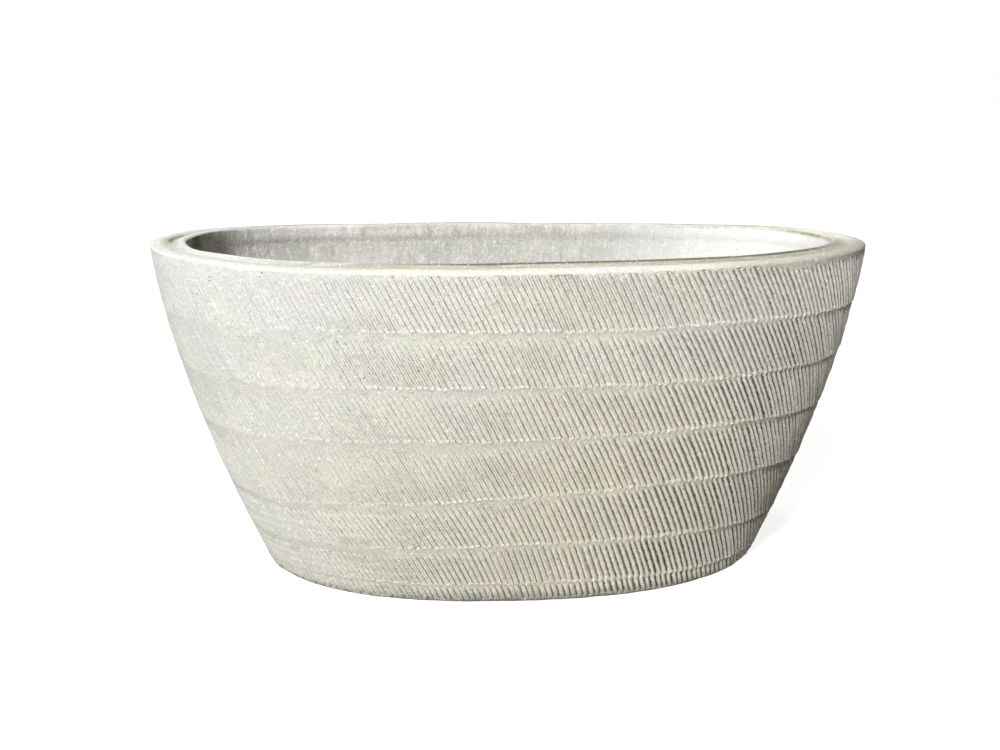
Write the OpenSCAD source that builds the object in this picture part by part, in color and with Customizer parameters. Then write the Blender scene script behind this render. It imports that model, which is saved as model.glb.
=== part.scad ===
// Long oval concrete bowl planter. Its flared wall is combed in overlapping bands
// under a rolled rim. A rubber plug closes the drain bore in the floor.
// The origin is on the standing surface, under the centre of the bowl. +X is along
// the long axis, the front faces -Y and +Z is up.

/* [Bowl] */
// Length over the rim
bowl_length = 400; // [320:5:520]
// Width over the rim
bowl_width = 205; // [170:5:260]
// Height of the rim's ends above the standing surface
bowl_height = 188.5; // [150:0.5:240]
// Length of the base
base_length = 303; // [260:1:315]
// Width of the base
base_width = 163; // [140:0.5:165]
// How quickly the wall curves out of the base: 1 is a straight flare
flare_power = 1.54; // [1:0.02:2]
// How square the back half of the rim is in plan: 2 is an ellipse
back_squareness = 3.2; // [2:0.1:3.4]
// How square the front half of the rim is in plan
front_squareness = 2.1; // [2:0.1:3.4]
// How square the base is in plan
base_squareness = 2.3; // [2:0.1:3.4]
// How far the rim sags from its ends to the middle of its long sides
rim_sag = 2.4; // [0:0.2:4]
// Thickness of the wall below the rim
wall_thickness = 16.5; // [12:0.5:22]
// Thickness of the floor
floor_thickness = 20; // [14:0.5:30]
// Radius of the cove between the floor and the wall
cove_radius = 14; // [6:1:20]

/* [Rim] */
// Width of the rim from its outside to the opening
rim_width = 18; // [17:0.5:26]
// Width of the roll round the outside of the rim, from its side to its crest
roll_width = 5.5; // [3:0.5:7]
// Height of the roll's rounded side
roll_height = 3.25; // [2:0.25:3.25]
// How far the roll's crest lies under the bead
roll_drop = 1.5; // [0:0.1:1.5]
// Height of the smooth lip above the first comb strokes
lip_height = 5; // [5:0.5:12]
// Width of the bead round the opening
bead_width = 4; // [3:0.25:5]
// Depth of the channel between the roll and the bead
channel_depth = 0.6; // [0.4:0.1:2]
// Height of the band round the inside of the rim
inner_lip_height = 9; // [6:0.5:14]

/* [Combed bands] */
// Height of one pass of the comb
comb_width = 29.5; // [27:0.5:40]
// Distance between the grooves that the comb leaves
groove_pitch = 4.2; // [4.2:0.1:8]
// Depth of a groove where it is deepest, at the foot of its band
groove_depth = 1.0; // [0.4:0.1:1.6]
// Lean of the grooves from upright
groove_lean = 27; // [-40:1:40]
// How far a band's foot stands proud of the band under it
band_step = 0.6; // [0.4:0.1:1.6]
// Rise of the steepest seam from its lowest place to its highest
seam_rise = 13; // [0:1:14]
// Angle round the bowl at which the seams are highest
seam_peak = 295; // [0:5:355]
// How far the lower seams lie under an even spacing
seam_drop = 6; // [0:0.5:7]
// How far the hand wandered along a seam
seam_wander = 1.2; // [0:0.1:2]

/* [Foot] */
// Height of the heel, which a last short pass of the comb runs down
heel_height = 11; // [9:0.5:20]
// Radius of the heel's edge
heel_radius = 3; // [1:0.5:5]
// Width of the ring that the bowl stands on
foot_width = 20; // [12:1:30]
// Depth of the recess inside the foot ring
foot_recess = 3.5; // [2:0.5:5]

/* [Drain] */
// Diameter of the drain bore
drain_d = 20; // [14:0.5:30]
// Gap all round between the plug's ribs and the bore
plug_clearance = 0.08; // [0.02:0.01:0.1]
// How far the plug's flange reaches past the edge of the bore
flange_reach = 7; // [4:0.5:10]
// Thickness of the plug's flange
flange_thickness = 3; // [2:0.25:5]
// Length of the plug's stem
stem_length = 15; // [9:0.5:16]
// Height of each rib round the stem
rib_height = 2.5; // [1.5:0.25:3]
// How far a rib stands out from the stem
rib_depth = 1.2; // [0.5:0.1:2]
// Height of the pull tab above the flange
tab_height = 13; // [8:0.5:20]
// Width of the pull tab
tab_width = 14; // [10:0.5:16]
// Thickness of the pull tab
tab_thickness = 4.5; // [3:0.25:6]

/* [Hidden] */

// Plan of the bowl -----------------------------------------------------------

// Columns round the rim, the inside and the foot
plain_columns = 72;
// Steps of the table that turns a distance round the plan into an angle
table_step = 2;

// Half-length and half-width of the outside at height z
function side_loss(z) = pow(max(0, 1 - z / bowl_height), flare_power);
function side_a(z) = bowl_length / 2 - (bowl_length - base_length) / 2 * side_loss(z);
function side_b(z) = bowl_width / 2 - (bowl_width - base_width) / 2 * side_loss(z);

// How square the plan is at angle t and height z
function squareness(t, z) =
    let (rim_squareness = sin(t) < 0 ? front_squareness : back_squareness)
    base_squareness + (rim_squareness - base_squareness) * z / bowl_height;

// Point at angle t and height z, set in from the outside by inset
function wall_point(t, z, inset) =
    let (n = squareness(t, z))
    let (swell = pow(pow(abs(cos(t)), n) + pow(abs(sin(t)), n), -1 / n))
    let (near_rim = max(0, 2 * z / bowl_height - 1))
    let (sag = rim_sag * pow(sin(t), 2) * pow(near_rim, 2))
    [(side_a(z) - inset) * swell * cos(t), (side_b(z) - inset) * swell * sin(t), z - sag];

// The plan half-way up spaces the grooves evenly round the bowl
mid_z = bowl_height / 2;

// Pairs of distance round the plan and angle, from 0 to one full turn
arc_table = [
    for (row = [0, 0]; row[1] <= 360; row = [
        row[0] + norm(wall_point(row[1] + table_step, mid_z, 0) - wall_point(row[1], mid_z, 0)),
        row[1] + table_step
    ]) row
];
girth = arc_table[len(arc_table) - 1][0];

// Angle at a share of the way round, also past one turn or before zero
function turn_angle(share) =
    lookup((share - floor(share)) * girth, arc_table) + 360 * floor(share);

// Angles of n columns spaced evenly round the plan
function even_angles(n) = [for (i = [0 : n - 1]) turn_angle(i / n)];

plain_angles = [for (i = [0 : plain_columns - 1]) i * 360 / plain_columns];

// A plain ring, as its column angles and its points
function plain_ring(z, inset) =
    [plain_angles, [for (t = plain_angles) wall_point(t, z, inset)]];

// Combed bands ---------------------------------------------------------------

combed_height = bowl_height - lip_height - heel_height;
band_count = max(1, round(combed_height / comb_width));
band_height = combed_height / band_count;
// The comb marks on the heel end just over its rounded edge
heel_foot = heel_radius + 0.5;

// Height of the seam under a band at angle t, before the rim's sag. Band 0 is the
// highest, seam -1 is the even edge of the lip, and the band after the last full one
// is the short pass down the heel
function seam_z(band, t) = band == band_count ? heel_foot : full_seam_z(band, t);

function full_seam_z(band, t) =
    let (depth = (band + 1) / band_count)
    let (level = bowl_height - lip_height - (band + 1) * band_height)
    let (strayed = sin(180 * pow(depth, 2.5)))
    let (rise = seam_rise / 2 * cos(2 * (t - seam_peak)))
    let (wander = seam_wander * sin(3 * t + 77 * band) * sin(180 * depth))
    level + strayed * (rise - seam_drop) + wander;

function girth_at(z) =
    girth * (side_a(z) + side_b(z)) / (side_a(mid_z) + side_b(mid_z));

function groove_count(band) = round(girth_at(seam_z(band, 90)) / groove_pitch);

// Share of a turn that a groove moves round while it runs down its band
function groove_slant(band) =
    let (run = band == band_count ? heel_height - heel_foot : band_height)
    run * tan(groove_lean) / girth_at(seam_z(band, 90));

// The head of a band is smooth, and is tucked in under the band above
tuck_drop = 0.9;
function band_head(band) =
    let (angles = even_angles(groove_count(band)))
    let (inset = band == 0 ? 0 : band_step / 2)
    let (drop = band == 0 ? 0 : tuck_drop)
    [angles, [for (t = angles) wall_point(t, seam_z(band - 1, t) - drop, inset)]];

// The foot of a band is a row of ridges and grooves, moved round by the slant
function band_foot(band) =
    let (n = 2 * groove_count(band), slant = groove_slant(band))
    [even_angles(n), [
        for (i = [0 : n - 1])
        let (t = turn_angle(i / n + slant))
        let (inset = i % 2 == 0 ? -band_step / 2 : groove_depth - band_step / 2)
        wall_point(t, seam_z(band, t), inset)
    ]];

// Profiles that the rim and the foot follow ----------------------------------

// Points of an arc about centre c with the radii rx and rz, from angle a to angle b
function arc(c, rx, rz, a, b, steps) = [
    for (i = [0 : steps])
    let (t = a + (b - a) * i / steps)
    [c[0] + rx * cos(t), c[1] + rz * sin(t)]
];

// The rim as [inset, height]: roll, channel, bead, inner lip and the step under it
bead_radius = bead_width / 2;
channel_width = rim_width - bead_width - roll_width;
lip_step_height = 1.5;
roll_crest = bowl_height - roll_drop;
rim_profile = concat(
    arc([roll_width, roll_crest - roll_height], roll_width, roll_height, 180, 90, 4),
    [for (share = [0.25, 0.5, 0.75])
        let (hollow = 4 * share * (1 - share) * channel_depth)
        [roll_width + channel_width * share, roll_crest + roll_drop / 2 * share - hollow]],
    arc([rim_width - bead_radius, bowl_height - bead_radius],
        bead_radius, bead_radius, 135, 0, 3),
    [[rim_width, bowl_height - inner_lip_height],
     [wall_thickness, bowl_height - inner_lip_height - lip_step_height]]
);

floor_z = foot_recess + floor_thickness;
inner_wall_rows = 4;
cove_steps = 3;

// Inside of the wall from under the rim down to the cove, then the cove itself
wall_top_z = bowl_height - inner_lip_height - lip_step_height;
wall_low_z = floor_z + cove_radius;
inside_profile = concat(
    [for (i = [1 : inner_wall_rows - 1])
        [wall_thickness, wall_top_z + (wall_low_z - wall_top_z) * i / inner_wall_rows]],
    arc([wall_thickness + cove_radius, wall_low_z], cove_radius, cove_radius,
        180, 270, cove_steps)
);

// Underside and the heel's edge, from the recess outwards
recess_draft = 2;
foot_profile = concat(
    [[foot_width + recess_draft, foot_recess], [foot_width, 0]],
    arc([heel_radius, heel_radius], heel_radius, heel_radius, 270, 180, 2)
);

// The bowl as rings, from the recess up the outside and down the inside
bowl_rings = concat(
    [for (p = foot_profile) plain_ring(p[1], p[0])],
    [for (band = [band_count : -1 : 0], head = [false, true])
        head ? band_head(band) : band_foot(band)],
    [for (p = concat(rim_profile, inside_profile)) plain_ring(p[1], p[0])]
);

// Skin over the rings --------------------------------------------------------

// Angle of column i of a ring, also when i runs past one turn
function column_angle(angles, i) =
    angles[i % len(angles)] + 360 * floor(i / len(angles));

function column_mid(angles, i) =
    (column_angle(angles, i) + column_angle(angles, i + 1)) / 2;

// Whether the skin next takes a step along the lower ring and not the upper
function steps_low(s, low, high) =
    s[1] == len(high)
    || (s[0] < len(low) && column_mid(low, s[0]) <= column_mid(high, s[1]));

// Triangles between two rings, whatever their counts, from their column angles and
// the numbers of their first points
function skin(low, high, low_start, high_start) =
    let (n = len(low), m = len(high))
    [for (s = [0, 0]; s[0] + s[1] < n + m;
          s = steps_low(s, low, high) ? [s[0] + 1, s[1]] : [s[0], s[1] + 1])
        steps_low(s, low, high)
        ? [low_start + s[0] % n, high_start + s[1] % m, low_start + (s[0] + 1) % n]
        : [low_start + s[0] % n, high_start + s[1] % m, high_start + (s[1] + 1) % m]];

// Numbers of each ring's first point
function ring_starts(rings) = [
    for (i = 0, start = 0; i < len(rings); start = start + len(rings[i][0]), i = i + 1)
    start
];

// Closed solid through a list of rings, with a flat cap on the first and the last
module ring_solid(rings) {
    starts = ring_starts(rings);
    last = len(rings) - 1;
    points = [for (ring = rings) each ring[1]];
    skins = [for (i = [0 : last - 1]) each
        skin(rings[i][0], rings[i + 1][0], starts[i], starts[i + 1])];
    first_cap = [for (i = [0 : len(rings[0][0]) - 1]) i];
    last_cap = [for (i = [len(points) - 1 : -1 : starts[last]]) i];
    polyhedron(points, concat(skins, [first_cap, last_cap]), convexity = 6);
}

// Sub-parts ------------------------------------------------------------------

bore_facets = 96;
// How far a cut runs past the faces that it opens
cut_over = 1;

module bowl() {
    color([0.78, 0.77, 0.72])
    difference() {
        ring_solid(bowl_rings);
        translate([0, 0, foot_recess - cut_over])
        cylinder(d = drain_d, h = floor_thickness + 2 * cut_over, $fn = bore_facets);
    }
}

rib_radius = drain_d / 2 - plug_clearance;
stem_radius = rib_radius - rib_depth;
flange_radius = drain_d / 2 + flange_reach;
flange_edge = flange_thickness / 3;
rib_count = 3;
rib_spacing = stem_length / rib_count;
// How far the tab is rooted in the flange
tab_root = flange_thickness / 3;

// Half section of the plug, with z = 0 at the underside of the flange
stem_profile = [
    for (rib = [rib_count - 1 : -1 : 0])
    let (foot = -rib_spacing * (rib + 1))
    each [
        [stem_radius, foot],
        [rib_radius, foot + rib_height * 0.6],
        [rib_radius, foot + rib_height],
        [stem_radius, foot + rib_height]
    ]
];
flange_profile = [
    [stem_radius, 0],
    [flange_radius, 0],
    [flange_radius, flange_thickness - flange_edge],
    [flange_radius - flange_edge, flange_thickness],
    [0, flange_thickness]
];

// Upright tab with a round top, rooted in the flange
module pull_tab() {
    straight = tab_height - tab_width / 2;
    rotate([90, 0, 0])
    translate([0, flange_thickness, -tab_thickness / 2])
    linear_extrude(tab_thickness)
    union() {
        translate([-tab_width / 2, -tab_root])
        square([tab_width, straight + tab_root]);
        translate([0, straight])
        circle(d = tab_width, $fn = 48);
    }
}

module drain_plug() {
    color([0.16, 0.16, 0.15])
    translate([0, 0, floor_z])
    union() {
        rotate_extrude($fn = bore_facets)
        polygon(concat([[0, -stem_length]], stem_profile, flange_profile));
        pull_tab();
    }
}

bowl();
drain_plug();
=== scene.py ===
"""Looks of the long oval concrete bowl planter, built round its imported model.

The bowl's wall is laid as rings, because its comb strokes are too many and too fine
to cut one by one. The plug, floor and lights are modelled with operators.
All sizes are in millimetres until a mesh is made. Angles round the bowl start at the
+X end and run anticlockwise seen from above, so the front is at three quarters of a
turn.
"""

import math

import bpy
import numpy as np
from mathutils import Matrix, Vector


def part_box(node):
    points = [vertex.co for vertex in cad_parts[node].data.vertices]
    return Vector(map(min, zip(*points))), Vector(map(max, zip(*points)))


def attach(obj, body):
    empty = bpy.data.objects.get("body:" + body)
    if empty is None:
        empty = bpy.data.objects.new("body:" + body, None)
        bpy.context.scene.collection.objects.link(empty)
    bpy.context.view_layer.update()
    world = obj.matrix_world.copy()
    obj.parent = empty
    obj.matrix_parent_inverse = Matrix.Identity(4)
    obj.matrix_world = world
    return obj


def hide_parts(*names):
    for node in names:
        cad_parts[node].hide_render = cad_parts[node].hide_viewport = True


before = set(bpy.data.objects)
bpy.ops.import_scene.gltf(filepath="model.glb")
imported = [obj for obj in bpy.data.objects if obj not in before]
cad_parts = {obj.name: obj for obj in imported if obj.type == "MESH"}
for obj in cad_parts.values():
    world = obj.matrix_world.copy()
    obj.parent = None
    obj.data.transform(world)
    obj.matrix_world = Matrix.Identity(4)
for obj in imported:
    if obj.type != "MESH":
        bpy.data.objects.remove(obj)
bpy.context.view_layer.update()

MM = 0.001

# ---- bowl, sizes

BOWL_LENGTH = 400.0
BOWL_WIDTH = 205.0
BOWL_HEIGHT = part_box("bowl")[1].z / MM
BASE_LENGTH = 303.0
BASE_WIDTH = 163.0
FLARE_POWER = 1.54
# How square the plan is: 2 is an ellipse
BACK_SQUARENESS = 3.2
FRONT_SQUARENESS = 2.1
BASE_SQUARENESS = 2.3
WALL_THICKNESS = 16.5
FOOT_RECESS = 3.5
FLOOR_THICKNESS = 20.0
FLOOR_HEIGHT = FOOT_RECESS + FLOOR_THICKNESS
COVE_RADIUS = 14.0
FOOT_WIDTH = 20.0
RECESS_DRAFT = 2.0
HEEL_RADIUS = 1.6
DRAIN_RADIUS = 10.0
DRAIN_BEVEL = 0.8

# The rim as (inset, drop under the top), from the outside over the roll to the wall,
# with the stain on the rings of the channel and the bead
ROLL_SHOULDER = ((0.0, 3.7), (0.15, 3.3), (0.55, 2.8), (1.2, 2.4))
ROLL_TOP = ((2.2, 2.05), (3.4, 1.8), (4.6, 1.66), (5.6, 1.68))
CHANNEL = (
    (6.6, 1.82, 0.4),
    (8.0, 1.78, 0.7),
    (9.6, 1.55, 0.85),
    (11.2, 1.25, 0.85),
    (12.6, 0.9, 0.8),
    (13.6, 0.5, 0.6),
)
BEAD = ((14.4, 0.2, 0.3), (15.4, 0.04, 0.15), (16.6, 0.12, 0.3), (17.5, 0.55, 0.7), (18, 1.3, 0.5))
INNER_LIP = ((18.2, 3.0), (18.1, 5.6), (17.9, 8.0), (17.5, 10.0), (17.1, 12.5))
# Rings down to this drop lie nearer the top at the rim's left end
RIM_TOP_DROP = 4.0
LIP_HEIGHT = 3.7
LIP_GAP = 0.6
# How far the back of the rim is raised
BACK_RISE = 0.9

# One entry for each pass of the comb, from the highest to the lowest; the last is the
# short one down the heel. A seam has its mean height, its rise to the right, its sway
# from front left to front right and its bow
SEAMS = (
    (155.9, 1.2, -0.3, -0.4),
    (126.7, 0.6, 1.1, -0.1),
    (97.1, 0.0, 2.8, -2.3),
    (62.7, 0.9, 5.5, -3.9),
    (33.1, -2.5, 3.3, -4.4),
    (10.7, -0.4, 0.2, -2.0),
    (2.2, 0.0, 0.0, 0.0),
)
BAND_HEIGHTS = (28.5, 28.5, 28.5, 28.5, 28.5, 28.5, 8.0)
GROOVE_PITCHES = (3.22, 3.26, 3.19, 3.13, 3.2, 3.2, 3.25)
# How much wider the grooves are spaced at the bowl's ends than half-way
END_STRETCH = (0.07, 0.07, 0.03, 0.0, 0.0, 0.0, 0.0)
# Lean of the grooves from upright, at the front left and at the front right
GROOVE_LEANS = (
    (23.9, 31.9),
    (23.5, 34.5),
    (23.8, 30.8),
    (26.8, 33.8),
    (22.1, 37.0),
    (15.3, 28.0),
    (18.0, 28.0),
)
# How hard the comb was pressed on the front right
PRESS = (0.72, 0.85, 0.95, 1.0, 1.05, 1.1, 1.1)

GROOVE_DEPTH = 0.88
LIP_RISE = 0.25
TOE_RISE = 0.2
BAND_STEP = 0.1
HARD_STEP = 0.16
TUCK_DROP = 1.1
# Grooves that the comb cuts at one stroke
STROKE_GROOVES = 13
# How far the outside and the rim are set in, so that what stands out on them stays in
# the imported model's box
SKIN_INSET = 0.4
RIM_INSET = 0.3
# How far the lips and toes may stand out, on the top band and on the others
TOP_REACH = 0.36
BAND_REACH = 0.9
FIRST_BAND_SEED = 100

# Places across one groove's share of the wall, as shares of the pitch: bottom of the
# groove, its raised right lip, the flat, and its left edge. Where the comb was pressed
# hard the lip and the edge move out by the shares under them
ACROSS = (0.0, 0.2, 0.46, 0.82)
PRESSED_ACROSS = (0.0, 0.2, 0.12, -0.1)
CUT_ACROSS = (1.0, 0.0, 0.0, 0.0)
LIP_ACROSS = (0.0, 1.0, 0.0, 0.0)
# Place across a groove's share that the comb left flat, for walls without grooves
FLAT_PLACE = 0.6
# Places down one band, from its head to its foot
DOWN = (0.0, 0.04, 0.08, 0.14, 0.26, 0.42, 0.6, 0.78, 0.9, 0.955, 1.0)
HEEL_DOWN = (0.0, 0.12, 0.3, 0.6, 0.85, 1.0)
# Rows of toes that the comb left part-way down a band: the band, the place down it, the
# angle in half-turns, the reach in half-turns and the strength
EXTRA_TOES = ((4, 0.26, 1.35, 0.1, 0.7), (4, 0.6, 1.22, 0.07, 0.4), (5, 0.42, 1.25, 0.08, 0.4))

PLAIN_COLUMNS = 256
DRAIN_COLUMNS = 96
# Flat ring of floor round the drain
DRAIN_FLAT = 12.0
INNER_ROWS = 9
COVE_STEPS = 6
HEEL_STEPS = 3
# Steps round the bowl in which its girth is measured
GIRTH_STEPS = 720
BOWL_SMOOTH_ANGLE = 38

# ---- bowl, shape


def side_loss(height):
    """How far the flare has drawn in at each height, from 0 at the rim to 1"""
    return np.clip(1 - height / BOWL_HEIGHT, 0, 1) ** FLARE_POWER


def half_turns(turn):
    """Angle in half-turns, from 0 at the right end round to 2"""
    return np.mod(turn, 2 * np.pi) / np.pi


def hump(value, middle, width, power=2):
    """1 at the middle, falling off to 0 past the width"""
    return np.exp(-(((value - middle) / width) ** power))


def metres(lengths):
    return Vector([length * MM for length in lengths])


def plan_points(turn, height, inset):
    """Length and width places on the flared wall, set in from its outside"""
    loss = side_loss(height)
    half_length = (BOWL_LENGTH - (BOWL_LENGTH - BASE_LENGTH) * loss) / 2 - inset
    half_width = (BOWL_WIDTH - (BOWL_WIDTH - BASE_WIDTH) * loss) / 2 - inset
    at_rim = np.where(np.sin(turn) < 0, FRONT_SQUARENESS, BACK_SQUARENESS)
    power = BASE_SQUARENESS + (at_rim - BASE_SQUARENESS) * height / BOWL_HEIGHT
    along, across = np.cos(turn), np.sin(turn)
    swell = (np.abs(along) ** power + np.abs(across) ** power) ** (-1 / power)
    return half_length * swell * along, half_width * swell * across


def rim_sag(turn):
    """How far the hand-made rim lies under its highest place, at each angle"""
    way = half_turns(turn)
    sag = 1.1 + 0.9 * np.cos(turn) + 2.4 * np.sin(turn) ** 2 - 1.1 * hump(way, 0.53, 0.1)
    sag = sag + 2.3 * hump(way, 1.3, 0.12) + 1.8 * hump(way, 1.13, 0.08)
    sag = sag - BACK_RISE * np.clip(np.sin(turn), 0, 1)
    return np.clip(sag + 0.3 * wander(share_at(turn), 0, cells=26, seed=31), 0.1, 8)


def wall_points(turn, height, inset):
    """Points of the flared wall, lowered towards the rim by its sag"""
    x, y = plan_points(turn, height, inset)
    near_rim = np.clip(2 * height / BOWL_HEIGHT - 1, 0, 1)
    return np.stack([x, y, height - rim_sag(turn) * near_rim**2], axis=-1)


def walk_round(height, steps):
    """Angles round the outside at a height, and how far round each of them is"""
    turn = np.linspace(0, 2 * np.pi, steps + 1)
    x, y = plan_points(turn, height, 0.0)
    return turn, np.concatenate([[0], np.cumsum(np.hypot(np.diff(x), np.diff(y)))])


TABLE_TURN, TABLE_WALK = walk_round(BOWL_HEIGHT / 2, 2 * GIRTH_STEPS)
TABLE_SHARE = TABLE_WALK / TABLE_WALK[-1]


def turn_at(share):
    """Angle at a share of the way round, also past one full turn"""
    whole = np.floor(share)
    return np.interp(share - whole, TABLE_SHARE, TABLE_TURN) + 2 * np.pi * whole


def share_at(turn):
    """Share of the way round at an angle, also past one full turn"""
    whole = np.floor(turn / (2 * np.pi))
    return np.interp(turn - 2 * np.pi * whole, TABLE_TURN, TABLE_SHARE) + whole


def eased(share):
    """A share from 0 to 1 that leaves 0 and meets 1 gently"""
    return share * share * (3 - 2 * share)


def smooth_step(low, high, value):
    """From 0 at the low value to 1 at the high one"""
    return eased(np.clip((value - low) / (high - low), 0, 1))


def wander(share, level, cells, seed):
    """Smooth hand-made wander from -1 to 1. It closes on itself round the bowl after a
    number of cells, and changes once for each step of the level"""
    rows = 64
    lattice = np.random.RandomState(seed).uniform(-1, 1, (rows, cells))
    column_place = np.mod(share, 1.0) * cells
    row_place = np.mod(level, rows)
    column = np.floor(column_place).astype(int)
    row = np.floor(row_place).astype(int)
    right = eased(column_place - column)
    down = eased(row_place - row)
    column = np.mod(column, cells)
    next_column = np.mod(column + 1, cells)
    next_row = np.mod(row + 1, rows)
    near = lattice[row, column] * (1 - right) + lattice[row, next_column] * right
    far = lattice[next_row, column] * (1 - right) + lattice[next_row, next_column] * right
    return near * (1 - down) + far * down


# ---- combed bands


def seam_height(band, turn):
    """Height of the seam under a band. Seam -1 is the edge of the smooth lip"""
    share = share_at(turn)
    if band < 0:
        return BOWL_HEIGHT - LIP_HEIGHT - LIP_GAP + 0.4 * wander(share, 0, cells=90, seed=3)
    height, rise, sway, bow = SEAMS[band]
    level = height + rise * np.cos(turn) - sway * np.sin(2 * turn) + bow * np.cos(2 * turn)
    slow = 0.6 * wander(share, band, cells=16, seed=5)
    quick = 0.25 * wander(share, band, cells=80, seed=7)
    return np.maximum(level + slow + quick, HEEL_RADIUS + 0.2)


def share_apart(share, place):
    """How far a share of the way round lies past a place, the short way round"""
    return np.mod(share - place + 0.5, 1.0) - 0.5


def worn(share, height):
    """How far the comb marks are rubbed down, from 0 for crisp to 1 for gone"""
    patches = wander(share, height / 24.0, cells=22, seed=11)
    streaks = wander(share, height / 7.0, cells=80, seed=13)
    front_left = hump(share_apart(share, 0.57), 0, 0.1)
    front_left = front_left * (0.35 + 0.65 * smooth_step(55, 100, height))
    level = 0.1 + 0.22 * patches + 0.22 * streaks + 0.5 * front_left
    front_right = hump(share_apart(share, 0.86), 0, 0.18, 4)
    return np.clip(level * (1 - 0.75 * front_right), 0, 0.93)


def pressed(share, band):
    """How hard the comb was pressed, from 0 to about 1: hardest on the front right"""
    front_right = hump(share_apart(share, 0.94), 0, 0.14 + 0.007 * band)
    way = np.mod(share, 1.0)
    back = smooth_step(0.02, 0.12, way) * smooth_step(0.5, 0.4, way)
    return np.clip(PRESS[band] * front_right + 0.45 * back, 0, 1.1)


def smeared(share):
    """How far the seams are smeared flat, from 0 to 1: most at the front left"""
    return hump(share_apart(share, 0.55), 0, 0.14)


def plain_lip(turn):
    """Share of the top band that stays smooth under the roll, at each angle"""
    way = half_turns(turn)
    return 0.21 * hump(way, 1.14, 0.2, 4) + 0.12 * hump(way, 1.8, 0.12)


def groove_slant(band, share, girth):
    """Share of a turn that each groove moves round while it runs down its band"""
    left, right = GROOVE_LEANS[band]
    lean = left + (right - left) * smooth_step(-0.05, 0.65, np.cos(turn_at(share)))
    return BAND_HEIGHTS[band] * np.tan(np.radians(lean)) / girth


def extra_toes(band, down, turn):
    """Strength of the toes that the comb left part-way down a band"""
    total = 0 * turn
    for toe_band, toe_down, way, reach, strength in EXTRA_TOES:
        if toe_band == band and toe_down == down:
            total = total + strength * hump(half_turns(turn), way, reach)
    return total


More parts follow.
